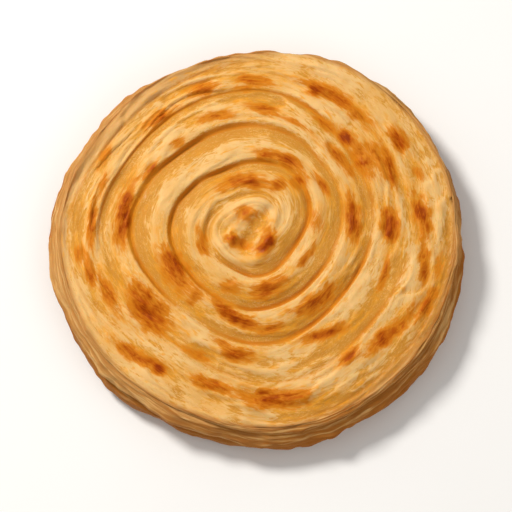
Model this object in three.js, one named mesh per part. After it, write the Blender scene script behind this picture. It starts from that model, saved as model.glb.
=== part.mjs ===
// A thick, flaky paratha: one strip of pleated dough wound into a flat coil and griddled.
// Units are millimetres, +Z is up, and the origin is the middle of the underside.
//
// The whole skin is one surface. Its rows follow the coiled strip, so the crease between
// two turns is always a clean edge: it winds out of the eye over the top, down the side
// as stacked layers, and back to the middle underneath as shallow griddle grooves.

import * as THREE from "three";
import { ParametricGeometry } from "three/addons/geometries/ParametricGeometry.js";
import { mergeVertices } from "three/addons/utils/BufferGeometryUtils.js";

// Driving sizes
const HEIGHT = 22; // floor to the coil's crests; the knobs of the eye stand a little higher
const PITCH = 15.1; // width of one turn of the strip on the top
const TOP_RADIUS = 84.8; // where the top rolls over into the side
const BASE_RADIUS = 81; // where the side meets the floor
const SHOULDER_DROP = 4.4; // fall of the top from the eye to the roll-over
const EYE_DIP = { depth: 2.3, radius: 14 };
const EYE = { x: -4.9, y: 4.5 }; // the coil was started off centre
const BOX_SHIFT = { x: -1, y: -0.16 }; // middle of the uneven outline, brought to the origin

// The side bulges out low down: the two middle control points of its outline
const SIDE_UPPER = { radius: 87.5, below: 0.4 };
const SIDE_LOWER = { radius: 95.6, height: 2 };

// Turns of the strip spent on each part of the skin. The first layer of the side edges
// the top, within a smaller share of its outline than the two thick layers below it.
const TOP_TURNS = TOP_RADIUS / PITCH;
const SIDE_TURNS = 3;
const FLAKE_TURNS = 1;
const FLAKE_DOWN = 0.3;
const BASE_TURNS = 3;
const ALL_TURNS = TOP_TURNS + SIDE_TURNS + BASE_TURNS;

// The relief across one turn of the top: a steep lip that leans in over the turn
// inside it, a rounded crest, then a back that falls to the next crease.
const LIP_WIDTH = 0.17; // share of a turn
const CREST_AT = 0.4;
const CREST_ROUNDING = 0.35;
const BACK_POWER = 2.6;
const LIP_LEAN = 0.6;
// Across a layer of the side: out from the crease, then in under its own lower edge
const SHINGLE_POWER = 2.4;
const SHINGLE_EDGE = 0.3;

const EYE_RELIEF = 1.8;
const RING_RELIEF = 2.8;
const RIM_RELIEF = 1;
const FLAKE_RELIEF = 1.3;
const SIDE_RELIEF = 2.2;
const BASE_RELIEF = 1.3;
const BASE_PRESS = 0.55; // how far the crests underneath are pressed flat by the griddle

// Kneading left the strip uneven along its length: waves by the radian wound
const DEPTH_WAVES = [
  { waves: 2, size: 0.34, peak: 125 },
  { waves: 3.71, size: 0.16, peak: 75 },
];
const CREST_WAVES = [
  { waves: 2.61, size: 0.45, peak: 10 },
  { waves: 5.43, size: 0.3, peak: 50 },
];
const SIDE_SCALLOPS = [
  { waves: 7.3, size: 0.5, peak: 20 },
  { waves: 12.7, size: 0.4, peak: 5 },
];

// The coil isn't round: harmonics of the crease's wander in turns and what the outer turns
// add to it, then of the outline and of how far the top is set off over the side, in mm
const CREASE_PHASE = 0.64;
const CREASE_WANDER = [
  { waves: 1, size: 0.263, peak: 76 },
  { waves: 2, size: 0.095, peak: 54 },
  { waves: 3, size: 0.11, peak: 48 },
];
const OUTER_WANDER = [
  { waves: 1, size: 0.155, peak: -177 },
  { waves: 2, size: 0.173, peak: -51 },
  { waves: 3, size: 0.053, peak: -25 },
  { waves: 4, size: 0.127, peak: 4 },
];
const OUTLINE_WANDER = [
  { waves: 2, size: 1.4, peak: 0 },
  { waves: 3, size: 0.9, peak: 55 },
  { waves: 7, size: 0.35, peak: 20 },
];
const TOP_OFFSET = [
  { waves: 1, size: 3.7, peak: 76 },
  { waves: 2, size: 0.8, peak: 62 },
];

// Knobs, ridges and hollows in the eye, measured from its middle, and a small arc of
// dough that curls round under them; headings and bearings in degrees
const EYE_KNOBS = [
  { x: 8.8, y: -4.2, length: 5.4, width: 2.7, heading: 52, rise: 2.8 },
  { x: 5.4, y: -2.2, length: 5.2, width: 1.3, heading: 46, rise: 0.9 },
  { x: -6, y: -2.6, length: 3.4, width: 2, heading: 40, rise: 2.2 },
  { x: -6.8, y: 0.8, length: 3.8, width: 1.4, heading: 38, rise: 1.3 },
  { x: 0.6, y: 8, length: 5.4, width: 2.3, heading: 32, rise: 1.9 },
  { x: -5.4, y: 8.4, length: 3.8, width: 1.6, heading: 45, rise: 1.4 },
  { x: 6, y: 13.4, length: 6.4, width: 1.8, heading: -10, rise: 1.5 },
  { x: 12.6, y: 7, length: 4.8, width: 1.7, heading: 78, rise: 1.2 },
  { x: -0.6, y: -4.4, length: 4.2, width: 2.6, heading: 62, rise: -1.6 },
  { x: 2.4, y: 2.4, length: 3.6, width: 2, heading: 60, rise: -1 },
  { x: 8.2, y: 8.4, length: 3.4, width: 1.7, heading: 62, rise: -0.9 },
];
const EYE_ARC = { radius: 12.8, width: 2.2, rise: 1.5, from: 175, to: 335, fade: 40 };
const EYE_REACH = 1.9; // turns

// Mesh: rows across each turn, as shares of the turn, and columns round the bread
const ROW_SHARES = [0, 0.08, 0.16, 0.36, 0.6, 0.84];
const COLUMNS = 76;
const FIRST_TURN = -2; // rows that start before the eye collapse into its middle
const WELD = 1e-3;

const FULL_TURN = 2 * Math.PI;

const smooth = (x) => THREE.MathUtils.smoothstep(x, 0, 1);
const blend = THREE.MathUtils.lerp;

/** Sum of a few cosine waves round the bread. */
function waves(list, angle) {
  const each = list.map((w) =>
    w.size * Math.cos(w.waves * (angle - THREE.MathUtils.degToRad(w.peak))));
  return each.reduce((sum, value) => sum + value, 0);
}

/** Height of the top's crests at a radius. */
function topHeight(radius) {
  const dome = SHOULDER_DROP * (radius / TOP_RADIUS) ** 2;
  const dip = EYE_DIP.depth * Math.exp(-((radius / EYE_DIP.radius) ** 2));
  return HEIGHT - dome - dip;
}

const shoulder = topHeight(TOP_RADIUS);
const side = new THREE.CubicBezierCurve(
  new THREE.Vector2(TOP_RADIUS, shoulder),
  new THREE.Vector2(SIDE_UPPER.radius, shoulder - SIDE_UPPER.below),
  new THREE.Vector2(SIDE_LOWER.radius, SIDE_LOWER.height),
  new THREE.Vector2(BASE_RADIUS, 0),
);

/** How far down the side's outline, from 0 to 1, so many layers below the roll-over. */
function downSide(layers) {
  const thin = FLAKE_DOWN * Math.min(1, layers / FLAKE_TURNS);
  const thick = Math.max(0, layers - FLAKE_TURNS) / (SIDE_TURNS - FLAKE_TURNS);
  return thin + (1 - FLAKE_DOWN) * thick;
}

/**
 * The bread's half section: the point, the outward normal and the share of the way down the
 * side after so many turns from the eye.
 */
function section(turns) {
  if (turns <= TOP_TURNS) {
    const radius = turns * PITCH;
    const point = new THREE.Vector2(radius, topHeight(radius));
    return { point, normal: new THREE.Vector2(0, 1), down: 0 };
  }
  const layers = turns - TOP_TURNS;
  if (layers <= SIDE_TURNS) {
    const down = downSide(layers);
    const along = side.getTangent(down);
    return { point: side.getPoint(down), normal: new THREE.Vector2(-along.y, along.x), down };
  }
  const under = (layers - SIDE_TURNS) / BASE_TURNS;
  return {
    point: new THREE.Vector2(BASE_RADIUS * (1 - under), 0),
    normal: new THREE.Vector2(0, -1),
    down: 1,
  };
}

/** How deep the crease is, so many turns from the eye. */
function relief(turns) {
  const layers = turns - TOP_TURNS;
  const rings = blend(EYE_RELIEF, RING_RELIEF, smooth(turns - 0.5));
  const rim = blend(rings, RIM_RELIEF, smooth((layers + 2.4) / 1.6));
  const flakes = blend(rim, FLAKE_RELIEF, smooth((layers + 0.4) / 0.5));
  const wall = blend(flakes, SIDE_RELIEF, smooth((layers - FLAKE_TURNS + 0.3) / 0.6));
  const base = blend(wall, BASE_RELIEF, smooth((layers - SIDE_TURNS + 0.5) / 0.5));
  return base * smooth((turns - 0.75) / 0.45) * smooth((ALL_TURNS - turns) / 0.4);
}

/** Depth below the crest across a turn of the top, from 0 on the crest to 1 in the crease. */
function folded(share) {
  const rise = blend(smooth(share / LIP_WIDTH), smooth(share / CREST_AT), CREST_ROUNDING);
  return 1 - rise * (1 - share ** BACK_POWER);
}

/** The same across a layer of the side. */
function shingled(share) {
  const tucked = smooth((share - 1 + SHINGLE_EDGE) / SHINGLE_EDGE);
  return 1 - (1 - (1 - share) ** SHINGLE_POWER) * (1 - tucked);
}

/** How far the lip leans over the turn inside it: most at the top of the lip. */
function lean(share) {
  return smooth(share / LIP_WIDTH) * (1 - smooth((share - LIP_WIDTH) / 0.4));
}

/** Height of the knobs, the hollow and the arc in the eye. */
function eyeForms(x, y) {
  const knobs = EYE_KNOBS.map((knob) => {
    const heading = THREE.MathUtils.degToRad(knob.heading);
    const place = new THREE.Vector2(x - knob.x, y - knob.y);
    place.rotateAround(new THREE.Vector2(), -heading);
    return knob.rise * Math.exp(-((place.x / knob.length) ** 2) - (place.y / knob.width) ** 2);
  });
  const bearing = THREE.MathUtils.euclideanModulo(THREE.MathUtils.radToDeg(Math.atan2(y, x)), 360);
  const drawn = smooth((bearing - EYE_ARC.from) / EYE_ARC.fade)
    * smooth((EYE_ARC.to - bearing) / EYE_ARC.fade);
  const over = (Math.hypot(x, y) - EYE_ARC.radius) / EYE_ARC.width;
  const arc = EYE_ARC.rise * drawn * Math.exp(-(over ** 2) * (over > 0 ? 2 : 0.8));
  return knobs.reduce((sum, value) => sum + value, arc);
}

/** A point of the skin: a row of the strip, in turns, at an angle round the bread. */
function skinPoint(row, angle, target) {
  const share = row - Math.floor(row);
  const wound = FULL_TURN * Math.floor(row) + angle;
  const reach = row + angle / FULL_TURN + CREASE_PHASE + waves(CREASE_WANDER, angle);
  const wide = smooth((reach - 1.8) / 2.6) * (1 - smooth((reach - TOP_TURNS - 0.6) / 1.5));
  const turns = THREE.MathUtils.clamp(reach + wide * waves(OUTER_WANDER, angle), 0, ALL_TURNS);
  const onTop = 1 - smooth((turns - TOP_TURNS + 0.25) / 0.4);
  const onBase = smooth((turns - TOP_TURNS - SIDE_TURNS + 0.5) / 0.6);
  const onSide = (1 - onTop) * (1 - onBase);
  const hollow = blend(folded(share), shingled(share), onSide);
  const crease = blend(waves(DEPTH_WAVES, wound), waves(DEPTH_WAVES, wound + FULL_TURN), share);
  const depth = relief(turns) * (1 + onTop * crease);
  const leaned = turns - (LIP_LEAN * lean(share) * onTop * depth) / RING_RELIEF / PITCH;
  const { point, normal, down } = section(Math.max(0, leaned));

  const outward = THREE.MathUtils.clamp(point.x / TOP_RADIUS, 0, 1);
  const crest = onTop * outward * waves(CREST_WAVES, wound);
  const scallop = onSide * waves(SIDE_SCALLOPS, wound);
  const proud = (crest + scallop) * (1 - hollow) - depth * hollow;
  const rim = waves(OUTLINE_WANDER, angle) + waves(TOP_OFFSET, angle) * (1 - smooth(down / 0.5));
  const radius = point.x + proud * normal.x + rim * outward ** 2;
  const x = radius * Math.cos(angle);
  const y = radius * Math.sin(angle);
  const forms = turns < EYE_REACH ? eyeForms(x, y) : 0;
  // The crests underneath are pressed flat on the floor, and the grooves rise from it
  const press = BASE_PRESS * Math.max(0, -normal.y);

  const offCentre = 1 - smooth((outward - 0.6) / 0.4);
  return target.set(
    x + EYE.x * offCentre - BOX_SHIFT.x,
    y + EYE.y * offCentre - BOX_SHIFT.y,
    Math.max(0, point.y + proud * normal.y - press + forms),
  );
}

/** Welds the seam and the two ends of the coil, and drops the faces that collapsed there. */
function welded(loose) {
  loose.deleteAttribute("normal");
  loose.deleteAttribute("uv");
  const geometry = mergeVertices(loose, WELD);
  const corners = geometry.index.array;
  const kept = [];
  for (let i = 0; i < corners.length; i += 3) {
    const [a, b, c] = corners.slice(i, i + 3);
    if (a !== b && b !== c && c !== a) kept.push(a, b, c);
  }
  geometry.setIndex(kept);
  geometry.computeVertexNormals();
  return geometry;
}

/** The coiled bread as one closed skin. */
function coiledBread() {
  const turnCount = Math.ceil(ALL_TURNS) - FIRST_TURN + 1;
  const rowCount = turnCount * ROW_SHARES.length;
  const skin = (u, v, target) => {
    const index = Math.round(v * rowCount);
    const turn = Math.floor(index / ROW_SHARES.length);
    const row = FIRST_TURN + turn + ROW_SHARES[index % ROW_SHARES.length];
    skinPoint(row, (1 - u) * FULL_TURN, target);
  };
  return welded(new ParametricGeometry(skin, COLUMNS, rowCount));
}

const griddledDough = new THREE.MeshStandardMaterial({
  color: new THREE.Color(0.86, 0.62, 0.33),
  roughness: 0.6,
  metalness: 0,
});

const bread = new THREE.Mesh(coiledBread(), griddledDough);
bread.name = "paratha";

const part = new THREE.Group();
part.add(bread);

export default part;
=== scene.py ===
"""A thick, flaky paratha: its wound and pleated skin, its griddled finish and a plain stage."""

import math

import bmesh
import bpy
from bpy.props import FloatProperty, FloatVectorProperty, IntProperty, PointerProperty
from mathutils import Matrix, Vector, noise


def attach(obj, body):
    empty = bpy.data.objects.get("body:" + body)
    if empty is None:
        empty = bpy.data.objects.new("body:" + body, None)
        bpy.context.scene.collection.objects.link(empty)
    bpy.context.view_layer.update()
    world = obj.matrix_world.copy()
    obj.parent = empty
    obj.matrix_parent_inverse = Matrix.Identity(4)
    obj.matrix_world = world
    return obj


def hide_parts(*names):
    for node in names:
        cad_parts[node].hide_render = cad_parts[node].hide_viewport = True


bl_info = {
    "name": "Coiled paratha",
    "version": (1, 0, 0),
    "blender": (4, 5, 0),
    "location": "3D View > Sidebar > Paratha",
    "description": "Winds a flaky coiled paratha, griddles it and lays it on a plain stage",
    "category": "Add Mesh",
}

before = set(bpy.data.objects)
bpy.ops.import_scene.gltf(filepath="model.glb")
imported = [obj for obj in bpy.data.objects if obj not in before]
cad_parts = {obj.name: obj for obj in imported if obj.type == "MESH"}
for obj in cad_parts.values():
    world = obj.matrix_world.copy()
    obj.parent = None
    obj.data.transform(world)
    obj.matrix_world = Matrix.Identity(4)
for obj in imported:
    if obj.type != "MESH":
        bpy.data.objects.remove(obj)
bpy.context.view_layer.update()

MM = 0.001
TURN = math.tau
TINY = 1e-6  # a smaller difference than this is none

BREAD_NODE = "paratha"


# ---------------------------------------------------------------- sizes and colours


class BreadSizes(bpy.types.PropertyGroup):
    """The bread's driving sizes."""

    height: FloatProperty(
        name="Height", description="From the surface it lies on to the crests of the coil",
        default=22.0 * MM, unit="LENGTH", precision=4)
    pitch: FloatProperty(
        name="Pitch", description="Width of one turn of the strip on the top",
        default=15.1 * MM, unit="LENGTH", precision=4)
    top_radius: FloatProperty(
        name="Top radius", description="Where the top rolls over into the side",
        default=84.8 * MM, unit="LENGTH", precision=4)
    base_radius: FloatProperty(
        name="Base radius", description="Where the side meets the surface it lies on",
        default=81.0 * MM, unit="LENGTH", precision=4)
    shoulder_drop: FloatProperty(
        name="Shoulder drop", description="Fall of the top from the eye to the roll-over",
        default=4.4 * MM, unit="LENGTH", precision=4)
    eye_offset: FloatVectorProperty(
        name="Eye offset", description="Middle of the coil from the middle of the bread",
        size=2, default=(-4.9 * MM, 4.5 * MM), unit="LENGTH", precision=4)
    ring_relief: FloatProperty(
        name="Ring relief", description="Depth of the creases between the turns",
        default=2.8 * MM, unit="LENGTH", precision=4)
    rim_relief: FloatProperty(
        name="Rim relief", description="Depth of the creases near the rim",
        default=1.0 * MM, unit="LENGTH", precision=4)
    side_relief: FloatProperty(
        name="Side relief", description="Depth of the creases between the layers of the side",
        default=2.2 * MM, unit="LENGTH", precision=4)
    lip_lean: FloatProperty(
        name="Lip lean", description="How far each turn's lip leans over the turn inside it",
        default=0.6 * MM, unit="LENGTH", precision=4)
    pleat_depth: FloatProperty(
        name="Pleat depth", description="Depth of the soft pleats along the strip",
        default=0.75 * MM, unit="LENGTH", precision=5)
    strand_depth: FloatProperty(
        name="Strand depth", description="Thickness of the strands that lie over each other",
        default=1.8 * MM, unit="LENGTH", precision=5)
    columns: IntProperty(
        name="Columns", description="Faces round the eye; the rest of the top has twice as many",
        default=216, min=24)
    rows: IntProperty(
        name="Rows", description="Faces across a turn of the side; the top has twice as many",
        default=12, min=4)


class DoughColours(bpy.types.PropertyGroup):
    """The colours of the dough, from pale crests to the darkest griddle marks, with painted highlight
    and painted shade among them.
    """

    # Also the painted highlight on the high crests; elsewhere the pale flakes, fibres, crumbs and
    # layers
    cream: FloatVectorProperty(
        name="Cream", description="Pale buttery crests", subtype="COLOR",
        default=(0.78, 0.49, 0.192), min=0.0, max=1.0)
    golden: FloatVectorProperty(
        name="Golden", description="The body of the dough", subtype="COLOR",
        default=(0.692, 0.328, 0.050), min=0.0, max=1.0)
    amber: FloatVectorProperty(
        name="Amber", description="Small flecks where the dough just caught", subtype="COLOR",
        default=(0.76, 0.31, 0.014), min=0.0, max=1.0)
    # Painted shade: the low dough between the crests takes this colour, and so does part of the rim's
    # painted shade
    crease: FloatVectorProperty(
        name="Crease", description="Dough that lies low between the crests", subtype="COLOR",
        default=(0.575, 0.25, 0.032), min=0.0, max=1.0)
    # Painted shade in the creases: on each lip's steep wall and at the foot of the turn's back
    fold_shade: FloatVectorProperty(
        name="Fold", description="The deep line between two turns", subtype="COLOR",
        default=(0.57, 0.18, 0.008), min=0.0, max=1.0)
    toast: FloatVectorProperty(
        name="Toast", description="Lightly toasted orange", subtype="COLOR",
        default=(0.62, 0.20, 0.008), min=0.0, max=1.0)
    brown: FloatVectorProperty(
        name="Brown", description="Well browned spots", subtype="COLOR",
        default=(0.42, 0.080, 0.001), min=0.0, max=1.0)
    scorch: FloatVectorProperty(
        name="Scorch", description="The darkest middles of the spots", subtype="COLOR",
        default=(0.25, 0.032, 0.001), min=0.0, max=1.0)
    # The side's own colour, partly also painted shade that darkens the side below the top
    flank: FloatVectorProperty(
        name="Flank", description="The side, which the griddle never touches", subtype="COLOR",
        default=(0.49, 0.225, 0.060), min=0.0, max=1.0)
    # Painted shade: darker low on the side, towards its near right, and on one side of the rim
    foot: FloatVectorProperty(
        name="Foot", description="The low part of the side, close to the griddle", subtype="COLOR",
        default=(0.31, 0.088, 0.006), min=0.0, max=1.0)


class StageSetup(bpy.types.PropertyGroup):
    """The camera, the lights and the floor."""

    distance: FloatProperty(
        name="Camera distance", description="From the middle of the bread to the camera",
        default=1.6, unit="LENGTH")
    elevation: FloatProperty(
        name="Camera elevation", description="Angle of the camera above the floor",
        default=math.radians(77.0), subtype="ANGLE")
    sight_shift: FloatProperty(
        name="Sight shift",
        description="How far past the bread's middle the camera aims; short of it if negative",
        default=-2.7 * MM, unit="LENGTH", precision=4)
    lens: FloatProperty(
        name="Lens", description="Focal length on a 36 mm sensor",
        default=257.0, unit="CAMERA")
    key_power: FloatProperty(
        name="Key power", description="Large soft lamp, up and to the left",
        default=23.0, unit="POWER")
    fill_power: FloatProperty(
        name="Fill power", description="Weaker lamp, from the right",
        default=3.2, unit="POWER")
    sky: FloatProperty(
        name="Sky", description="Strength of the even light from all round",
        default=0.43, min=0.0)


# ---------------------------------------------------------------- helpers


def smooth(x):
    """0 below 0, 1 above 1 and an even S between."""
    x = min(1.0, max(0.0, x))
    return x * x * (3.0 - 2.0 * x)


def mix(a, b, share):
    return a + (b - a) * share


def waves(terms, angle):
    """Sum of cosine waves: (waves in a turn, size, where the first one peaks in degrees)."""
    return sum(
        size * math.cos(count * (angle - math.radians(peak)))
        for count, size, peak in terms
    )


def grain(u, v, seed):
    """Smooth noise from about -1 to 1."""
    return noise.noise(Vector((u, v, seed)))


# ---------------------------------------------------------------- the wound skin

# Turns of the strip on the side and underneath, and where the first crease starts
SIDE_TURNS = 3.0
BASE_TURNS = 3.0
CREASE_PHASE = 0.64
FIRST_TURN = -2

# (waves in a turn, size, peak in degrees): the wander of the crease in turns, and what the
# outer turns add to it; the wander of the rim, and how far the top is set off over the side
CREASE_WANDER = ((1, 0.263, 76), (2, 0.095, 54), (3, 0.110, 48))
OUTER_WANDER = ((1, 0.155, -177), (2, 0.173, -51), (3, 0.053, -25), (4, 0.127, 4))
RIM_WANDER = ((2, 1.4 * MM, 0), (3, 0.9 * MM, 55), (7, 0.35 * MM, 20))
TOP_OFFSET = ((1, 3.7 * MM, 76), (2, 0.8 * MM, 62))
BOX_SHIFT = (-1.00 * MM, -0.16 * MM)  # taken off again, to centre the bread's box

# The unevenness along the strip, in the same terms and as in the plain solid
DEPTH_WAVES = ((2, 0.34, 125), (3.71, 0.16, 75))
CREST_WAVES = ((2.61, 0.45 * MM, 10), (5.43, 0.3 * MM, 50))
SCALLOPS = ((7.3, 0.5 * MM, 20), (12.7, 0.4 * MM, 5))

# The dip of the eye, and the depth of the creases there, at the rim's flake and underneath
EYE_DIP = 2.3 * MM
EYE_DIP_RADIUS = 14 * MM
EYE_RELIEF = 1.8 * MM
FLAKE_RELIEF = 1.3 * MM
BASE_RELIEF = 1.3 * MM
BASE_PRESS = 0.55 * MM  # how much of the crests underneath is pressed flat
FAINTEST_CREASE = 0.15
DEEPEST_CREASE = 1.35

# The form of a turn, in shares of its width
LIP_WIDTH = 0.14
CREST_AT = 0.4
CREST_ROUNDING = 0.35
BACK_POWER = 2.6
SHINGLE_EDGE = 0.3
SHINGLE_POWER = 2.4
SLIT_DEPTH = 0.3 * MM  # a sharp line at the foot of the well-drawn creases

# The colour follows the height of the dough, in shares of the ring relief, as painted light and
# shade: a painted highlight on well-drawn crests, painted shade on their backs and round the eye.
PAINTED_CREST_LIGHT = 0.16
PAINTED_BACK_SHADE = 0.2
PAINTED_EYE_SHADE = 0.14

# The side bulges out low down: the two middle control points of its outline.
# A rounded flake edges the top; the rest of the side is two thick layers.
SIDE_UPPER = (87.5 * MM, 0.4 * MM)
SIDE_LOWER = (95.6 * MM, 2.0 * MM)
FLAKE_TURNS = 1.0
FLAKE_DOWN = 0.3

# The eye is a bowl of knobs and hollows, where no strip shows
BOWL_RADIUS = 10 * MM
BOWL_FADE = 8 * MM
KNOB_TURNS = 1.9

# Knobs and hollows in the eye: x, y from its middle, length, width, heading in degrees, height
EYE_KNOBS = (
    (8.8 * MM, -4.2 * MM, 5.4 * MM, 2.7 * MM, 52, 2.8 * MM),
    (5.4 * MM, -2.2 * MM, 5.2 * MM, 1.3 * MM, 46, 0.9 * MM),
    (-6.0 * MM, -2.6 * MM, 3.4 * MM, 2.0 * MM, 40, 2.2 * MM),
    (-6.8 * MM, 0.8 * MM, 3.8 * MM, 1.4 * MM, 38, 1.3 * MM),
    (0.6 * MM, 8.0 * MM, 5.4 * MM, 2.3 * MM, 32, 1.9 * MM),
    (-5.4 * MM, 8.4 * MM, 3.8 * MM, 1.6 * MM, 45, 1.4 * MM),
    (6.0 * MM, 13.4 * MM, 6.4 * MM, 1.8 * MM, -10, 1.5 * MM),
    (12.6 * MM, 7.0 * MM, 4.8 * MM, 1.7 * MM, 78, 1.2 * MM),
    (-0.6 * MM, -4.4 * MM, 4.2 * MM, 2.6 * MM, 62, -1.6 * MM),
    (2.4 * MM, 2.4 * MM, 3.6 * MM, 2.0 * MM, 60, -1.0 * MM),
    (8.2 * MM, 8.4 * MM, 3.4 * MM, 1.7 * MM, 62, -0.9 * MM),
)

# A small arc of dough curls round under the knobs: radius, width, height, from and to bearing
EYE_ARC = (12.8 * MM, 2.2 * MM, 1.5 * MM, 175, 335)
EYE_ARC_FADE = 40.0  # degrees that it takes to rise from either end


def crease_line(row, angle):
    """Turns from the eye out to a row of the strip, before its creases stray."""
    return row + angle / TURN + CREASE_PHASE + waves(CREASE_WANDER, angle)


def hold(wound):
    """How deep and sharp a crease is drawn at a point of its length, about 1."""
    drawn = 0.95 + waves(DEPTH_WAVES, wound) + 0.7 * grain(wound * 1.1, 2.2, 0.3)
    drawn += 0.45 * grain(wound * 3.1, 7.2, 2.3)
    drawn = min(DEEPEST_CREASE, max(FAINTEST_CREASE, drawn))
    return drawn * mix(0.4, 1.0, smooth((wound - 2.2) / 1.8))


def stray(wound):
    """How far a crease strays from its even line, in turns."""
    return 0.085 * grain(wound * 0.6, 3.1, 1.7) + 0.04 * grain(wound * 2.3, 8.4, 5.2)


def eye_forms(x, y):
    """Height of the knobs, the hollow and the arc in the eye."""
    total = 0.0
    for px, py, length, width, heading, rise in EYE_KNOBS:
        turned = math.radians(heading)
        along = (x - px) * math.cos(turned) + (y - py) * math.sin(turned)
        over = (y - py) * math.cos(turned) - (x - px) * math.sin(turned)
        total += rise * math.exp(-((along / length) ** 2) - (over / width) ** 2)
    radius, width, rise, start, end = EYE_ARC
    bearing = math.degrees(math.atan2(y, x)) % 360.0
    drawn = smooth((bearing - start) / EYE_ARC_FADE) * smooth((end - bearing) / EYE_ARC_FADE)
    over = (math.hypot(x, y) - radius) / width
    return total + rise * drawn * math.exp(-over * over * (2.0 if over > 0.0 else 0.8))


def strands(length, width):
    """Secondary pleats: wandering strands laid over each other, 0 in their folds to 1."""
    line = width / (4.9 * MM) + 2.0 * grain(length / (30 * MM), width / (9 * MM), 14.0)
    line += 0.35 * grain(length / (9 * MM), width / (4 * MM), 19.0)
    strand = math.floor(line)
    share = line - strand
    drawn = min(1.0, max(0.0, 0.45 + 1.6 * grain(length / (22 * MM), strand * 0.71, 23.0)))
    return drawn * smooth(share / 0.22) * (1.0 - share ** 1.6)


class Spot:
    """A place on the strip: where it is wound to, and how firmly the crease is drawn there."""

    def __init__(self, skin, row, angle):
        turn = math.floor(row + TINY)
        across = max(0.0, row - turn)
        self.angle = angle
        self.share = across * (0.5 + 0.5 * across)
        self.wound = TURN * turn + angle
        strayed = mix(stray(self.wound), stray(self.wound + TURN), self.share)
        reach = crease_line(turn, angle) + self.share + strayed
        wide = smooth((reach - 1.8) / 2.6) * (1.0 - smooth((reach - skin.top_turns - 0.6) / 1.5))
        self.turns = min(skin.all_turns, max(0.0, reach + wide * waves(OUTER_WANDER, angle)))
        self.length = skin.strip_length(self.wound / TURN + CREASE_PHASE)
        self.width = self.share * skin.pitch

        self.outer = self.turns - skin.top_turns
        self.on_top = 1.0 - smooth((self.outer + 0.25) / 0.4)
        self.on_base = smooth((self.turns - skin.side_end + 0.5) / 0.6)
        self.on_side = (1.0 - self.on_top) * (1.0 - self.on_base)

        self.grip = hold(self.wound)
        self.drawn = mix(self.grip, hold(self.wound + TURN), smooth(self.share))
        self.lip = LIP_WIDTH * (1.8 - 0.6 * self.grip)
        self.worn = min(1.0, skin.relief(self.turns) / skin.ring_relief)


def turn_form(spot):
    """How far a turn has risen over its lip, and how low it lies, from 0 on its crest to 1."""
    share = spot.share
    rise = mix(smooth(share / spot.lip), smooth(share / CREST_AT), CREST_ROUNDING)
    folded = 1.0 - rise * (1.0 - share ** BACK_POWER)
    tucked = smooth((share - 1.0 + SHINGLE_EDGE) / SHINGLE_EDGE)
    shingled = 1.0 - (1.0 - (1.0 - share) ** SHINGLE_POWER) * (1.0 - tucked)
    return rise, mix(folded, shingled, spot.on_side)


def slit_form(spot):
    """Depth of the sharp line at the foot of a well-drawn crease."""
    slit = SLIT_DEPTH * spot.worn * spot.on_top * smooth(spot.drawn - 0.4)
    slit *= smooth(spot.turns - 0.8)
    near = math.exp(-((spot.share / 0.03) ** 2))
    return slit * (near + math.exp(-(((1.0 - spot.share) / 0.02) ** 2)))


def edge_form(spot, outward):
    """How the crests of the top wander up and down, and the side's edges in and out."""
    crest = spot.on_top * outward * waves(CREST_WAVES, spot.wound) * smooth(spot.turns / 0.6)
    ragged = waves(SCALLOPS, spot.wound) + 1.1 * MM * grain(spot.length / (9 * MM), 6.3, 25.0)
    ragged += 0.5 * MM * grain(spot.length / (3.5 * MM), 2.3, 28.0)
    return crest + spot.on_side * ragged


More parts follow.
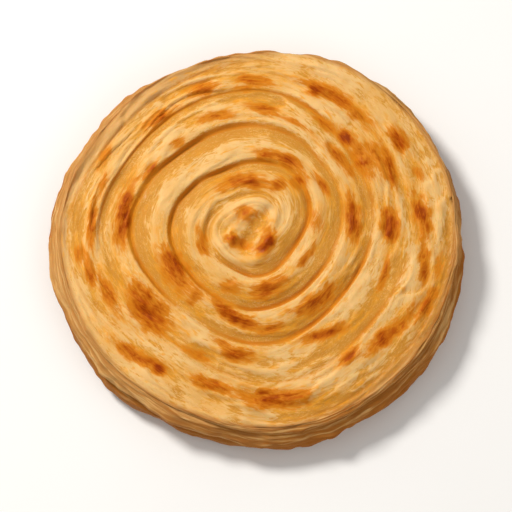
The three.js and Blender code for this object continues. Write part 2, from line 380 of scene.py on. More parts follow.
class Skin:
    """Where each point of the wound strip lies, worked out from the bread's sizes."""

    def __init__(self, sizes):
        self.height = sizes.height
        self.pitch = sizes.pitch
        self.top_radius = sizes.top_radius
        self.base_radius = sizes.base_radius
        self.shoulder_drop = sizes.shoulder_drop
        self.eye = tuple(sizes.eye_offset)
        self.ring_relief = sizes.ring_relief
        self.rim_relief = sizes.rim_relief
        self.side_relief = sizes.side_relief
        self.lip_lean = sizes.lip_lean
        self.strand_depth = sizes.strand_depth
        self.pleat_depth = sizes.pleat_depth

        self.top_turns = self.top_radius / self.pitch
        self.side_end = self.top_turns + SIDE_TURNS
        self.all_turns = self.side_end + BASE_TURNS
        shoulder = self.top_height(self.top_radius)
        self.side = (
            Vector((self.top_radius, shoulder)),
            Vector((SIDE_UPPER[0], shoulder - SIDE_UPPER[1])),
            Vector(SIDE_LOWER),
            Vector((self.base_radius, 0.0)),
        )

    def top_height(self, radius):
        dome = self.shoulder_drop * (radius / self.top_radius) ** 2
        dip = EYE_DIP * math.exp(-((radius / EYE_DIP_RADIUS) ** 2))
        return self.height - dome - dip

    def section(self, turns):
        """Radius, height, outward normal and share down the side of the bread's half section."""
        if turns <= self.top_turns:
            radius = turns * self.pitch
            return radius, self.top_height(radius), 0.0, 1.0, 0.0
        layer = turns - self.top_turns
        if layer <= SIDE_TURNS:
            down = FLAKE_DOWN * min(1.0, layer / FLAKE_TURNS)
            thick = max(0.0, layer - FLAKE_TURNS) / (SIDE_TURNS - FLAKE_TURNS)
            down += (1.0 - FLAKE_DOWN) * thick
            a, b, c, d = self.side
            up = 1.0 - down
            point = a * up ** 3 + b * 3 * up * up * down + c * 3 * up * down * down + d * down ** 3
            along = (b - a) * up * up + (c - b) * 2 * up * down + (d - c) * down * down
            along.normalize()
            return point.x, point.y, -along.y, along.x, down
        under = (turns - self.side_end) / BASE_TURNS
        return self.base_radius * (1.0 - under), 0.0, 0.0, -1.0, 1.0

    def relief(self, turns):
        """How deep the crease is."""
        outer = turns - self.top_turns
        depth = mix(EYE_RELIEF, self.ring_relief, smooth(turns - 0.5))
        depth = mix(depth, self.rim_relief, smooth((outer + 2.4) / 1.6))
        depth = mix(depth, FLAKE_RELIEF, smooth((outer + 0.4) / 0.5))
        depth = mix(depth, self.side_relief, smooth((outer - FLAKE_TURNS + 0.3) / 0.6))
        depth = mix(depth, BASE_RELIEF, smooth((outer - SIDE_TURNS + 0.5) / 0.5))
        return depth * smooth((turns - 0.75) / 0.45) * smooth((self.all_turns - turns) / 0.4)

    def strip_length(self, turns):
        """How much of the strip is wound by so many turns from the eye."""
        turns = max(0.0, turns)
        wound = math.pi * self.pitch * min(turns, self.top_turns) ** 2
        return wound + TURN * self.top_radius * max(0.0, turns - self.top_turns)

    def fine_form(self, spot):
        """Height of the pleats and strands, and a mask that ends them at the creases."""
        inside = smooth(spot.share / 0.24) * smooth((1.0 - spot.share) / 0.14)
        inside *= smooth(spot.turns / 0.6) * smooth((self.all_turns - spot.turns) / 0.6)
        loose = mix(0.5, 1.0, smooth((spot.turns - 2.6) / 1.6)) * (1.0 - 0.8 * spot.on_base)
        pleat = grain(spot.length / (19 * MM), spot.width / (3.8 * MM), 4.0)
        pleat += 0.6 * grain(spot.length / (7 * MM), spot.width / (2.2 * MM), 9.0)
        laid = strands(spot.length, spot.width) * (spot.on_top + 0.5 * spot.on_side)
        form = self.pleat_depth * pleat + self.strand_depth * (laid - 0.5 * spot.on_top)
        return inside * loose * form, inside

    def place(self, spot):
        """A point of the skin and its finish."""
        # The lip leans over the turn inside it where its crease is well drawn
        rise, hollow = turn_form(spot)
        lean = rise * (1.0 - smooth((spot.share - spot.lip) / 0.4)) * spot.grip
        slide = self.lip_lean * lean * spot.worn * spot.on_top
        radius, height, out, up, down = self.section(max(0.0, spot.turns - slide / self.pitch))
        outward = min(1.0, max(0.0, radius / self.top_radius))

        # The relief stands out from the skin, and the rim wanders with all that is on it
        low = self.relief(spot.turns) * mix(1.0, 0.3 + 0.7 * spot.drawn, spot.on_top) * hollow
        fine, inside = self.fine_form(spot)
        proud = edge_form(spot, outward) * (1.0 - hollow) - low + fine - slit_form(spot)
        rim = waves(RIM_WANDER, spot.angle)
        rim += waves(TOP_OFFSET, spot.angle) * (1.0 - smooth(down / 0.5))
        radius += proud * out + rim * outward ** 2
        height += proud * up - BASE_PRESS * max(0.0, -up)

        # Knobs in the bowl of the eye, and soft lumps all over
        x = radius * math.cos(spot.angle)
        y = radius * math.sin(spot.angle)
        knobs = eye_forms(x, y) if spot.turns < KNOB_TURNS else 0.0
        bowl = (1.0 - smooth((radius - BOWL_RADIUS) / BOWL_FADE)) * (1.0 - spot.on_base)
        height += knobs
        lump = 0.25 * MM * grain(x / (7 * MM), y / (7 * MM), height / (7 * MM))
        lump += 0.6 * MM * grain(x / (19 * MM), y / (19 * MM), 3.0)
        height += lump * (1.0 - spot.on_base) * (1.0 - 0.7 * spot.on_side)

        # The turns are wound about the eye, and the rim about the middle of the bread
        drift = 1.0 - smooth((outward - 0.6) / 0.4)
        point = Vector((
            x + self.eye[0] * drift - BOX_SHIFT[0],
            y + self.eye[1] * drift - BOX_SHIFT[1],
            max(0.0, height),
        ))
        return point, self.finish(spot, fine - low, inside, knobs, bowl)

    def finish(self, spot, relief, inside, knobs, bowl):
        """What the colours follow: how high the dough stands, for painted light and shade, its edges
        and its parts.
        """
        share = spot.share
        firm = spot.worn * spot.grip * spot.on_top * smooth((spot.turns - 0.8) / 0.8)
        crest_light = PAINTED_CREST_LIGHT * math.exp(-(((share - 0.42) / 0.15) ** 2))
        # Painted shade on the low dough and a painted highlight on the crests of well-drawn turns
        shade_level = relief / self.ring_relief
        shade_level += firm * (crest_light - PAINTED_BACK_SHADE * smooth((share - 0.5) / 0.4))
        shade_level -= PAINTED_EYE_SHADE * spot.on_top * (1.0 - smooth((spot.turns - 0.8) / 1.2))
        # In the eye the knobs get a painted highlight and the hollows between them painted shade
        shade_level = mix(shade_level, 0.4 * knobs / MM - 0.42, bowl)
        brink = math.exp(-(((share - 1.35 * spot.lip) / 0.11) ** 2))
        # Painted shade along the creases, on the lip's steep wall and at the foot of the back
        fold_shade = 1.0 - smooth(share / (1.25 * spot.lip)) + smooth((share - 0.9) / 0.1)
        return {
            "crest": min(1.0, max(0.0, 1.0 + shade_level)),
            "brink": spot.grip * spot.on_top * inside * brink,
            "fold_shade": fold_shade * spot.drawn * spot.worn * spot.on_top * smooth(spot.turns - 0.6),
            "rim": smooth((spot.outer + 0.7) / 0.6) * (1.0 - spot.on_base),
            "flank": spot.on_side,
            "underside": spot.on_base,
            "bowl": bowl,
        }


# ---------------------------------------------------------------- griddle marks

# Where the crests touched the griddle: bearing in degrees and distance in mm from the eye,
# length along the coil and width across it in mm, how much it slants outwards along its
# length, and how dark it is
MARKS = (
    (333, 9.9, 11, 6.4, 0.0, 1.00), (204, 6.8, 4.4, 6, 0.0, 0.80), (86, 8.0, 11, 6, 0.1, 0.46),
    (262, 4.6, 6, 5, 0.0, 0.34), (96, 23.6, 20, 5.8, 0.0, 0.74), (57, 26, 6, 6.5, -0.2, 0.66),
    (46, 31.4, 7, 7, 0.0, 0.62), (62, 37, 12, 4.6, 0.0, 0.84), (76, 36.2, 10, 4.4, 0.0, 0.60),
    (33, 39.6, 12, 3.2, 0.0, 0.62), (8.5, 46.8, 17, 6.2, 0.0, 0.97), (11, 31, 12, 6.6, 0.0, 0.44),
    (191, 20.2, 11, 4.4, 0.0, 0.62), (211, 35.4, 26, 10, 0.0, 0.74), (208, 33.8, 12, 5, 0.0, 1.00),
    (217, 54.2, 20, 11.5, 0.0, 0.86), (214, 51, 9, 5, 0.0, 0.98), (170, 54.2, 25, 6.6, 0.0, 0.93),
    (294, 26.6, 15, 6.2, 0.0, 0.88), (261, 37.4, 20, 5.6, 0.4, 0.94), (285, 43.8, 11, 3.6, 0.0, 0.55),
    (314, 42.8, 20, 5.6, 0.1, 0.95), (308, 56.2, 16, 5, 0.3, 0.98), (335, 27.6, 7, 2.6, 0.1, 0.62),
    (347, 29.4, 6, 2.4, 0.1, 0.55), (255, 24.8, 8, 6, 0.0, 0.44), (248, 57.4, 10, 4.2, 0.0, 0.60),
    (266, 54, 12, 5.4, 0.0, 0.78), (257, 49.6, 8, 3.2, 0.2, 0.48), (344, 62.4, 17, 2.8, 0.0, 0.52),
    (230, 71.4, 24, 5, -0.2, 0.68), (237, 70.6, 8, 4.6, 0.0, 0.92), (257.5, 69, 14, 5, 0.1, 0.78),
    (278, 73.6, 28, 7, 0.2, 0.76), (275, 70.6, 8, 4, 0.0, 0.90), (310, 70, 10, 4.2, 0.0, 0.80),
    (325, 76.4, 25, 5.2, 0.2, 0.86), (322, 73, 8, 3.4, 0.0, 0.84), (338, 84, 14, 4, 0.1, 0.62),
    (350, 84.6, 11, 3.6, 0.0, 0.50), (350, 78.2, 16, 4.2, -0.1, 0.80), (6.5, 76.4, 18, 6.6, -0.1, 0.92),
    (20.5, 79.6, 7, 4.4, 0.0, 0.58), (32.5, 79, 11, 6, 0.0, 0.80), (4, 62.4, 14, 6.2, 0.0, 0.86),
    (26, 69.4, 17, 4.4, 0.2, 0.88), (29, 67, 17, 6, 0.0, 0.56), (32, 60.6, 13, 7.2, 0.0, 0.64),
    (45, 61.4, 9, 4.8, 0.0, 0.88), (54.5, 60.2, 12, 3.6, 0.0, 0.64), (56, 73, 30, 5.4, 0.0, 0.80),
    (49, 72, 6, 4.6, 0.0, 0.72), (65, 71.4, 7, 5, 0.0, 0.72), (41, 52.6, 18, 4, 0.0, 0.56),
    (83, 57.4, 13, 4.8, 0.1, 0.78), (71, 54.6, 20, 2, 0.1, 0.60), (88, 69.6, 14, 4.4, 0.1, 0.82),
    (92, 66.4, 10, 3.4, 0.0, 0.50), (107, 68.4, 14, 5.2, 0.0, 0.72), (127, 65.2, 16, 4.6, 0.0, 0.68),
    (125, 65.6, 6, 4.4, 0.0, 0.80), (105, 54.6, 15, 3.8, 0.1, 0.64), (126, 50.8, 6, 3.8, 0.0, 0.44),
    (147, 50.8, 10, 3.6, 0.0, 0.62), (151, 71.8, 9, 3.6, 0.0, 0.44), (161, 67, 10, 3.8, 0.0, 0.44),
    (175, 68, 19, 3.6, 0.0, 0.70), (186.5, 73.8, 9, 3.8, 0.0, 0.62), (194.5, 70.4, 12, 4, 0.0, 0.70),
    (204, 65.8, 15, 5.2, 0.0, 0.92),
)

# A mark is drawn a little larger and darker than its size and strength, because it fades
# towards its edge. It does nothing past so many of its half lengths and half widths.
MARK_SPREAD = 1.18
FAINTEST_MARK = 0.15
MARK_REACH = (3.2, 2.6)


class Griddle:
    """How browned the dough is at a point of the top."""

    def __init__(self, eye):
        self.eye = eye
        half = MARK_SPREAD * MM / 2
        self.marks = [
            (math.radians(bearing), distance * MM, length * half, width * half, slant,
             mix(FAINTEST_MARK, 1.0, strength))
            for bearing, distance, length, width, slant, strength in MARKS
        ]

    def touch(self, point):
        """How dark it is and how strong the amber halo is, from 0 to 1."""
        x = point.x - self.eye[0] + BOX_SHIFT[0]
        y = point.y - self.eye[1] + BOX_SHIFT[1]
        distance = math.hypot(x, y)
        bearing = math.atan2(y, x)
        rough = 0.22 * grain(x / (4.5 * MM), y / (4.5 * MM), 31.0)
        dark = 0.0
        halo = 0.0
        for mark_bearing, mark_distance, length, width, slant, strength in self.marks:
            turn = (bearing - mark_bearing + math.pi) % TURN - math.pi
            reach = turn * mark_distance
            if abs(reach) > MARK_REACH[0] * length:
                continue
            over = (distance - mark_distance - slant * reach) / width
            if abs(over) > MARK_REACH[1]:
                continue
            drawn = grain(reach / (5 * MM), distance / (1.2 * MM), mark_bearing * 9.0)
            away = math.hypot(reach / length, over) + rough + 0.3 * drawn
            dark = max(dark, strength * (1.0 - smooth((away - 0.1) / 1.5)))
            around = math.hypot(reach / length / 1.3, over) + 1.8 * rough + 0.4 * drawn
            halo = max(halo, strength * (1.0 - smooth((around - 0.8) / 1.4)))
        return dark, halo


# ---------------------------------------------------------------- building the bread

# What is kept on the mesh for the finish: measures of each point, and the strip's own map
FINISH = ("crest", "brink", "fold_shade", "rim", "flank", "underside", "bowl", "sear", "halo")
STRIP_MAP = "Strip"
MAP_UNIT = 100 * MM  # of dough to one unit of the map

# Stretches of the strip, in turns, that get twice as many faces across it and along it
FINE_ACROSS = (0.1, 0.1)  # from the eye, and past the roll-over of the top
FINE_ALONG = (1.5, -0.2)  # from the eye, and short of the foot
SLIVER = 0.1 * TINY  # a shorter edge than this is taken out


def strip_sheet(skin, columns, rows):
    """The unwound strip as a flat sheet: x runs once round the bread, y counts the rows."""
    turns = math.ceil(skin.all_turns) - FIRST_TURN
    sheet = bmesh.new()
    bmesh.ops.create_grid(sheet, x_segments=columns, y_segments=turns * rows, size=1.0)

    def reach(vert):
        row = FIRST_TURN + (vert.co.y + 1.0) / 2.0 * turns
        angle = (vert.co.x + 1.0) / 2.0 * TURN
        return crease_line(row, angle)

    def edges_between(axis, low, high):
        """Edges along an axis of the sheet whose middle lies in that stretch of the strip."""
        other = 1 - axis
        found = []
        for edge in sheet.edges:
            a, b = edge.verts
            if abs(a.co[other] - b.co[other]) > TINY:
                continue
            if low < (reach(a) + reach(b)) / 2.0 < high:
                found.append(edge)
        return found

    across = edges_between(1, FINE_ACROSS[0], skin.top_turns + FINE_ACROSS[1])
    bmesh.ops.subdivide_edges(sheet, edges=across, cuts=1, use_grid_fill=True)
    along = edges_between(0, FINE_ALONG[0], skin.side_end + FINE_ALONG[1])
    bmesh.ops.subdivide_edges(sheet, edges=along, cuts=1, use_grid_fill=True)
    return sheet, turns


def wind(skin, griddle, sheet, turns, columns, rows):
    """Winds the flat sheet into the bread and notes its finish on the mesh."""
    layers = {name: sheet.verts.layers.float.new(name) for name in FINISH}
    strip = sheet.loops.layers.uv.new(STRIP_MAP)

    fine_columns = columns * 2
    fine_rows = rows * 2
    measures = {}
    for vert in sheet.verts:
        column = round((vert.co.x + 1.0) / 2.0 * fine_columns)
        line = round((vert.co.y + 1.0) / 2.0 * (turns * fine_rows))
        row = FIRST_TURN + line / fine_rows
        angle = column / fine_columns * TURN
        spot = Spot(skin, row, angle)
        point, finish = skin.place(spot)
        touched = 1.0 - max(finish["flank"] * 0.85, finish["underside"])
        sear, halo = griddle.touch(point)
        finish["sear"] = sear * touched
        finish["halo"] = halo * touched
        inside = skin.strip_length(row - 1.0 + angle / TURN + CREASE_PHASE)
        measures[vert] = (line, spot.length, spot.width, inside)
        vert.co = point
        for name, value in finish.items():
            vert[layers[name]] = value

    for face in sheet.faces:
        last = max(measures[loop.vert][0] for loop in face.loops)
        for loop in face.loops:
            line, length, width, inside = measures[loop.vert]
            if line == last and line % fine_rows == 0:
                # The far edge of the turn inside: it lies one turn back along the strip
                length = inside
                width = skin.pitch
            loop[strip].uv = (length / MAP_UNIT, width / MAP_UNIT)


def sew(sheet):
    """Joins the strip's two ends and its collapsed middle into one closed skin."""
    bmesh.ops.remove_doubles(sheet, verts=sheet.verts, dist=TINY)
    bmesh.ops.dissolve_degenerate(sheet, edges=sheet.edges, dist=SLIVER)
    bmesh.ops.triangulate(sheet, faces=[f for f in sheet.faces if len(f.verts) > 4])
    bmesh.ops.recalc_face_normals(sheet, faces=sheet.faces)
    for face in sheet.faces:
        face.smooth = True


def add_piece(mesh_name, sheet):
    mesh = bpy.data.meshes.new(mesh_name)
    sheet.to_mesh(mesh)
    sheet.free()
    piece = bpy.data.objects.new(mesh_name, mesh)
    bpy.context.scene.collection.objects.link(piece)
    return piece


# ---------------------------------------------------------------- materials


class Nodes:
    """Short ways to add and join the nodes of one material."""

    def __init__(self, tree):
        self.tree = tree

    def add(self, kind, **values):
        node = self.tree.nodes.new("ShaderNode" + kind)
        for key, value in values.items():
            setattr(node, key, value)
        return node

    def link(self, source, target):
        self.tree.links.new(source, target)

    def attribute(self, name):
        return self.add("Attribute", attribute_name=name).outputs["Fac"]

    def mask(self, value, low, high, low_out=0.0, high_out=1.0):
        """Maps a stretch of values smoothly onto another."""
        node = self.add("MapRange", interpolation_type="SMOOTHSTEP")
        self.link(value, node.inputs["Value"])
        node.inputs["From Min"].default_value = low
        node.inputs["From Max"].default_value = high
        node.inputs["To Min"].default_value = low_out
        node.inputs["To Max"].default_value = high_out
        return node.outputs["Result"]

    def math(self, operation, a, b):
        node = self.add("Math", operation=operation)
        for socket, value in zip(node.inputs, (a, b)):
            if isinstance(value, (int, float)):
                socket.default_value = value
            else:
                self.link(value, socket)
        return node.outputs["Value"]

    def product(self, first, *rest):
        for value in rest:
            first = self.math("MULTIPLY", first, value)
        return first

    def total(self, first, *rest):
        for value in rest:
            first = self.math("ADD", first, value)
        return first

    def between(self, share, a, b):
        """One value turning into another by a mask."""
        node = self.add("Mix", data_type="FLOAT")
        for socket, value in zip([s for s in node.inputs if s.enabled], (share, a, b)):
            self.link(value, socket)
        return next(s for s in node.outputs if s.enabled)

    def blend(self, share, a, b):
        """One colour over another by a mask; a and b are colours or sockets."""
        node = self.add("Mix", data_type="RGBA")
        factor, *sockets = [s for s in node.inputs if s.enabled]
        self.link(share, factor)
        for socket, colour in zip(sockets, (a, b)):
            if hasattr(colour, "links"):
                self.link(colour, socket)
            else:
                socket.default_value = (*colour, 1.0)
        return next(s for s in node.outputs if s.enabled)

    def along(self, place, direction):
        """How far a place lies in a direction."""
        node = self.add("VectorMath", operation="DOT_PRODUCT")
        self.link(place, node.inputs[0])
        node.inputs[1].default_value = direction
        return node.outputs["Value"]

    def scaled(self, source, scale):
        node = self.add("Mapping")
        node.inputs["Scale"].default_value = scale
        self.link(source, node.inputs["Vector"])
        return node.outputs["Vector"]

    def noise(self, vector, scale, detail=3.0, roughness=0.55, distortion=0.0):
        node = self.add("TexNoise")
        node.inputs["Scale"].default_value = scale
        node.inputs["Detail"].default_value = detail
        node.inputs["Roughness"].default_value = roughness
        node.inputs["Distortion"].default_value = distortion
        self.link(vector, node.inputs["Vector"])
        return node.outputs["Fac"]

    def drawn_out(self, strip, along, across, detail, roughness, distortion):
        """Noise drawn out along the strip, by its grains in one unit of the strip's map."""
        stretched = self.scaled(strip, (along, across, 1.0))
        return self.noise(stretched, 1.0, detail, roughness, distortion)


# Which ways painted shade darkens the side and the rim most, and the rim on its far side
SHADED_SIDE = (0.45, -0.9, 0.0)
SHADED_RIM = (0.8, -0.6, 0.0)
SHADED_FAR_RIM = (-0.64, 0.77, 0.0)
UP = (0.0, 0.0, 1.0)


class DoughPatterns:
    """What the finish is drawn with: the measures kept on the mesh, and patterns."""

    def __init__(self, n):
        self.place = n.add("TexCoord").outputs["Object"]
        self.crest = n.attribute("crest")
        self.brink = n.attribute("brink")
        self.fold_shade = n.attribute("fold_shade")
        self.rim = n.attribute("rim")
        self.flank = n.attribute("flank")
        self.underside = n.attribute("underside")
        self.bowl = n.attribute("bowl")
        self.sear = n.attribute("sear")
        self.halo = n.attribute("halo")

        # Streaks and fibres follow the strip, but lie any way round in the eye
        strip = n.add("UVMap", uv_map=STRIP_MAP).outputs["UV"]
        streak = n.drawn_out(strip, 26.0, 84.0, 4.0, 0.6, 0.9)
        self.streak = n.between(self.bowl, streak, n.noise(self.place, 230.0, 3.0, 0.55, 0.5))
        fibre = n.drawn_out(strip, 90.0, 260.0, 3.0, 0.6, 0.6)
        self.fibre = n.between(self.bowl, fibre, n.noise(self.place, 700.0, 3.0, 0.6))
        self.strata = n.drawn_out(strip, 4.5, 40.0, 3.0, 0.55, 0.6)
        self.fleck = n.drawn_out(strip, 16.0, 52.0, 2.0, 0.5, 0.4)
        layers = n.drawn_out(strip, 7.0, 26.0, 2.0, 0.5, 0.7)
        self.flake = n.math("FRACT", n.product(layers, 7.0), 0.0)

        # From broad clouds of tone down to fine speckle
        self.cloud = n.noise(self.place, 32.0, 2.0, 0.5)
        self.blotch = n.noise(self.place, 85.0, 3.0, 0.55)
        self.pimple = n.noise(self.place, 420.0, 3.0, 0.6)
        self.speckle = n.noise(self.place, 1500.0, 2.0, 0.7)


def top_tone(n, dough, colours):
    """Golden backs, cream crests with a painted highlight and darker creases of painted shade, all
    broken up by the streaks.
    """
    height = n.total(
        dough.crest,
        n.mask(dough.streak, 0.3, 0.7, -0.2, 0.2),
        n.mask(dough.blotch, 0.36, 0.64, -0.16, 0.18),
        n.mask(dough.flake, 0.0, 1.0, -0.12, 0.12),
    )
    # By the dough's height: painted shade on the low dough, then a painted highlight on the high crests
    tone = n.blend(n.mask(height, 0.15, 0.72), colours.crease, colours.golden)
    pale = n.product(n.mask(height, 0.42, 0.82), n.mask(dough.cloud, 0.34, 0.56, 0.5, 1.0))
    tone = n.blend(pale, tone, colours.cream)

    # Pale edges of flakes and fibres, golden flushes, pale crumbs and painted shade in the deep folds
    flaky = n.total(dough.brink, n.mask(dough.fibre, 0.3, 0.7, -0.5, 0.5))
    tone = n.blend(n.mask(flaky, 0.3, 0.85, 0.0, 0.7), tone, colours.cream)
    tone = n.blend(n.mask(dough.fibre, 0.5, 0.72, 0.0, 0.3), tone, colours.cream)
    flushed = n.product(
        n.mask(dough.blotch, 0.52, 0.7, 0.0, 0.5), n.mask(dough.cloud, 0.45, 0.65))
    tone = n.blend(flushed, tone, colours.golden)
    crumbs = n.product(
        n.mask(dough.speckle, 0.52, 0.66, 0.0, 0.5),
        n.mask(dough.crest, 0.3, 0.8, 1.0, 0.2),
        n.mask(dough.blotch, 0.4, 0.6, 0.1, 1.0),
    )
    tone = n.blend(crumbs, tone, colours.cream)
    return n.blend(n.mask(dough.fold_shade, 0.15, 0.85, 0.0, 0.9), tone, colours.fold_shade)


def rim_tone(n, dough, colours, top):
    """The top with painted shade on its rim: darker on one side, and the side's colour on the other."""
    # Painted shade darkens the rim towards one side
    toasted = n.mask(n.along(dough.place, SHADED_RIM), 45.0 * MM, 80.0 * MM, 0.0, 0.8)
    toasted = n.product(toasted, n.mask(dough.streak, 0.3, 0.7, 1.2, 0.7))
    darker = n.blend(n.mask(dough.strata, 0.3, 0.7, 0.1, 0.5), colours.crease, colours.foot)
    tone = n.blend(n.mask(n.product(dough.rim, toasted), 0.1, 0.8, 0.0, 0.85), top, darker)
    # Painted shade turns the far rim towards the side's colour
    plain = n.mask(n.along(dough.place, SHADED_FAR_RIM), 60.0 * MM, 84.0 * MM, 0.0, 0.6)
    return n.blend(n.product(dough.rim, plain), tone, colours.flank)


def side_tone(n, dough, colours):
    """Paler and darker layers, darker towards the foot and towards one side by painted shade."""
    # Painted shade low down and towards one side, with the layers' own unevenness
    low = n.total(
        n.mask(n.along(dough.place, UP), 6.0 * MM, 15.0 * MM, 1.0, 0.0),
        n.mask(n.along(dough.place, SHADED_SIDE), 10.0 * MM, 70.0 * MM, 0.0, 0.5),
        n.mask(dough.strata, 0.34, 0.66, 0.34, -0.34),
    )
    tone = n.blend(n.mask(dough.strata, 0.48, 0.66, 0.0, 0.6), colours.flank, colours.cream)
    return n.blend(n.mask(low, 0.1, 0.9, 0.0, 0.85), tone, colours.foot)


def browning(n, dough):
    """How far the griddle's marks are browned, with uneven edges."""
    uneven = n.total(
        n.mask(dough.blotch, 0.3, 0.7, -0.2, 0.2), n.mask(dough.streak, 0.3, 0.7, -0.16, 0.16))
    return n.total(dough.sear, n.product(uneven, n.mask(dough.sear, 0.0, 0.3, 0.3, 1.0)))


def griddled_tone(n, dough, colours, browned, tone):
    """Amber flecks and halos, then the marks: orange edges, brown and scorched middles."""
    flecks = n.product(
        n.mask(dough.fleck, 0.56, 0.68, 0.0, 0.75),
        n.mask(dough.cloud, 0.4, 0.58),
        dough.crest,
        n.mask(dough.flank, 0.2, 0.8, 1.0, 0.2),
    )
    tone = n.blend(flecks, tone, colours.amber)
    glow = n.product(
        n.mask(dough.halo, 0.2, 0.8, 0.0, 0.7), n.mask(dough.streak, 0.4, 0.6, 0.2, 1.0))
    tone = n.blend(glow, tone, colours.amber)
    tone = n.blend(n.mask(browned, 0.03, 0.44, 0.0, 0.95), tone, colours.toast)
    tone = n.blend(n.mask(browned, 0.42, 0.9, 0.0, 0.95), tone, colours.brown)
    tone = n.blend(n.mask(browned, 0.8, 1.1, 0.0, 0.9), tone, colours.scorch)
    underneath = n.product(dough.underside, n.mask(dough.blotch, 0.48, 0.64))
    tone = n.blend(underneath, tone, colours.brown)

    # Painted glints: specks where the ghee catches the light, most of all on the browned skin
    painted_glints = n.product(
        n.mask(dough.speckle, 0.62, 0.75), n.mask(dough.sear, 0.3, 0.8, 0.1, 0.16))
    return n.blend(painted_glints, tone, colours.golden)


def fine_relief(n, dough):
    """Relief finer than the mesh."""
    relief = n.total(
        n.product(dough.streak, 0.8),
        n.product(dough.fibre, 0.4),
        n.product(dough.flake, 0.3),
        n.product(dough.speckle, 0.22),
        n.product(dough.strata, n.mask(dough.flank, 0.1, 0.7, 0.0, 1.6)),
        n.product(dough.pimple, 0.35),
    )
    bump = n.add("Bump")
    bump.inputs["Strength"].default_value = 0.65
    bump.inputs["Distance"].default_value = 0.5 * MM
    n.link(relief, bump.inputs["Height"])
    return bump.outputs["Normal"]


def griddled_dough(colours):
    """Buttery layered dough: pale crests, golden backs, toasted and scorched spots, with painted
    highlight and shade.
    """
    material = bpy.data.materials.new("griddled_dough")
    material.use_nodes = True
    tree = material.node_tree
    tree.nodes.clear()
    n = Nodes(tree)
    output = n.add("OutputMaterial")
    shader = n.add("BsdfPrincipled")
    n.link(shader.outputs["BSDF"], output.inputs["Surface"])

    dough = DoughPatterns(n)
    top = rim_tone(n, dough, colours, top_tone(n, dough, colours))
    plain = n.blend(n.mask(dough.flank, 0.1, 0.8, 0.0, 0.9), top, side_tone(n, dough, colours))
    browned = browning(n, dough)
    n.link(griddled_tone(n, dough, colours, browned, plain), shader.inputs["Base Color"])

    # Ghee: a little glossier where browned, with a thin sheen along the streaks
    roughness = n.mask(dough.cloud, 0.35, 0.65, 0.42, 0.6)
    roughness = n.math("SUBTRACT", roughness, n.mask(dough.sear, 0.3, 0.9, 0.0, 0.1))
    n.link(roughness, shader.inputs["Roughness"])
    sheen = n.product(
        n.mask(browned, 0.1, 0.6, 1.0, 0.15),
        n.mask(dough.flank, 0.2, 0.8, 1.0, 0.25),
        n.mask(dough.streak, 0.5, 0.7, 0.0, 0.14),
    )
    n.link(sheen, shader.inputs["Coat Weight"])
    shader.inputs["Coat Roughness"].default_value = 0.28
    shader.inputs["Specular IOR Level"].default_value = 0.05
    shader.inputs["Subsurface Weight"].default_value = 0.22
    shader.inputs["Subsurface Radius"].default_value = (1.0, 0.42, 0.16)
    shader.inputs["Subsurface Scale"].default_value = 2.5 * MM
    n.link(fine_relief(n, dough), shader.inputs["Normal"])
    return material


PAPER_TONES = ((0.86, 0.855, 0.85), (0.9, 0.897, 0.893))


def plain_floor():
    """Matt near-white paper."""
    material = bpy.data.materials.new("floor_paper")
    material.use_nodes = True
    n = Nodes(material.node_tree)
    shader = material.node_tree.nodes["Principled BSDF"]
    place = n.add("TexCoord").outputs["Object"]
    n.link(n.blend(n.noise(place, 9.0), *PAPER_TONES), shader.inputs["Base Color"])
    shader.inputs["Roughness"].default_value = 0.9
    return material


# ---------------------------------------------------------------- operators

# The stage, in metres: what the lamps and the camera look at, the lamps and the floor
MIDDLE = Vector((0.0, 0.0, 8.0 * MM))
KEY_PLACE = Vector((-0.83, 0.72, 1.10))
KEY_SIZE = 0.42
KEY_COLOUR = (1.0, 0.97, 0.92)
FILL_PLACE = Vector((0.9, -0.7, 0.9))
FILL_SIZE = 1.2
FILL_COLOUR = (1.0, 0.95, 0.88)
SKY_COLOUR = (1.0, 0.98, 0.95)
FLOOR_HALF = 1.5
SENSOR_WIDTH = 36.0  # in millimetres
CLIP_START = 0.01


class PARATHA_OT_wind_bread(bpy.types.Operator):
    """Winds the strip into the bread and gives it its griddled finish"""

    bl_idname = "paratha.wind_bread"
    bl_label = "Wind the bread"

    def execute(self, context):
        sizes = context.scene.paratha_sizes
        skin = Skin(sizes)
        sheet, turns = strip_sheet(skin, sizes.columns, sizes.rows)
        wind(skin, Griddle(skin.eye), sheet, turns, sizes.columns, sizes.rows)
        sew(sheet)
        loose_edges = [edge for edge in sheet.edges if not edge.is_manifold]
        if loose_edges:
            raise RuntimeError(f"the bread's skin isn't closed: {len(loose_edges)} open edges")
        bread = add_piece("paratha_skin", sheet)
        bread.data.materials.append(griddled_dough(context.scene.paratha_colours))
        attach(bread, "root")
        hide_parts(BREAD_NODE)
        return {"FINISHED"}


def aim(thing, target):
    """Turns a lamp or camera to look at a point."""
    thing.rotation_euler = (target - thing.location).to_track_quat("-Z", "Y").to_euler()


def add_lamp(name, power, size, location, colour):
    lamp = bpy.data.lights.new(name, "AREA")
    lamp.shape = "DISK"
    lamp.size = size
    lamp.energy = power
    lamp.color = colour
    thing = bpy.data.objects.new(name, lamp)
    bpy.context.scene.collection.objects.link(thing)
    thing.location = location
    aim(thing, MIDDLE)


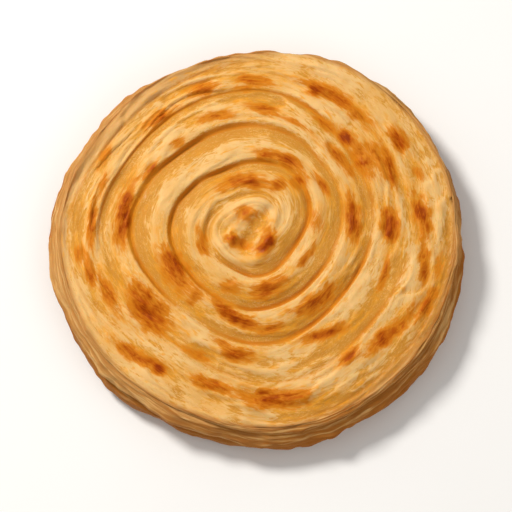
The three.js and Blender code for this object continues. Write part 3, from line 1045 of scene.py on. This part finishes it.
class PARATHA_OT_set_stage(bpy.types.Operator):
    """Lays the floor and sets the lights and the camera"""

    bl_idname = "paratha.set_stage"
    bl_label = "Set the stage"

    def execute(self, context):
        scene = context.scene
        setup = scene.paratha_stage

        sheet = bmesh.new()
        bmesh.ops.create_grid(sheet, x_segments=1, y_segments=1, size=FLOOR_HALF)
        floor = add_piece("floor", sheet)
        floor.data.materials.append(plain_floor())

        add_lamp("key_lamp", setup.key_power, KEY_SIZE, KEY_PLACE, KEY_COLOUR)
        add_lamp("fill_lamp", setup.fill_power, FILL_SIZE, FILL_PLACE, FILL_COLOUR)

        world = bpy.data.worlds.new("soft_room")
        world.use_nodes = True
        background = world.node_tree.nodes["Background"]
        background.inputs["Color"].default_value = (*SKY_COLOUR, 1.0)
        background.inputs["Strength"].default_value = setup.sky
        scene.world = world

        lens = bpy.data.cameras.new("camera")
        lens.lens = setup.lens
        lens.sensor_width = SENSOR_WIDTH
        lens.clip_start = CLIP_START
        camera = bpy.data.objects.new("camera", lens)
        scene.collection.objects.link(camera)
        sight = MIDDLE + Vector((0.0, setup.sight_shift, 0.0))
        back = setup.distance * math.cos(setup.elevation)
        camera.location = sight + Vector((0.0, -back, setup.distance * math.sin(setup.elevation)))
        aim(camera, sight)
        scene.camera = camera
        scene.view_settings.view_transform = "Standard"
        return {"FINISHED"}


class PARATHA_PT_panel(bpy.types.Panel):
    """Lists the bread's sizes, colours and stage with the steps that make them"""

    bl_idname = "PARATHA_PT_panel"
    bl_label = "Coiled paratha"
    bl_space_type = "VIEW_3D"
    bl_region_type = "UI"
    bl_category = "Paratha"

    def draw(self, context):
        scene = context.scene
        for title, group, step in (
            ("Bread", scene.paratha_sizes, PARATHA_OT_wind_bread),
            ("Colours", scene.paratha_colours, None),
            ("Stage", scene.paratha_stage, PARATHA_OT_set_stage),
        ):
            box = self.layout.box()
            box.label(text=title)
            for name in group.__annotations__:
                box.prop(group, name)
            if step:
                box.operator(step.bl_idname)


CLASSES = (
    BreadSizes,
    DoughColours,
    StageSetup,
    PARATHA_OT_wind_bread,
    PARATHA_OT_set_stage,
    PARATHA_PT_panel,
)


def register():
    for cls in CLASSES:
        bpy.utils.register_class(cls)
    bpy.types.Scene.paratha_sizes = PointerProperty(type=BreadSizes)
    bpy.types.Scene.paratha_colours = PointerProperty(type=DoughColours)
    bpy.types.Scene.paratha_stage = PointerProperty(type=StageSetup)


def unregister():
    del bpy.types.Scene.paratha_stage
    del bpy.types.Scene.paratha_colours
    del bpy.types.Scene.paratha_sizes
    for cls in reversed(CLASSES):
        bpy.utils.unregister_class(cls)


def main():
    register()
    bpy.ops.paratha.set_stage()
    bpy.ops.paratha.wind_bread()


if __name__ == "__main__":
    main()
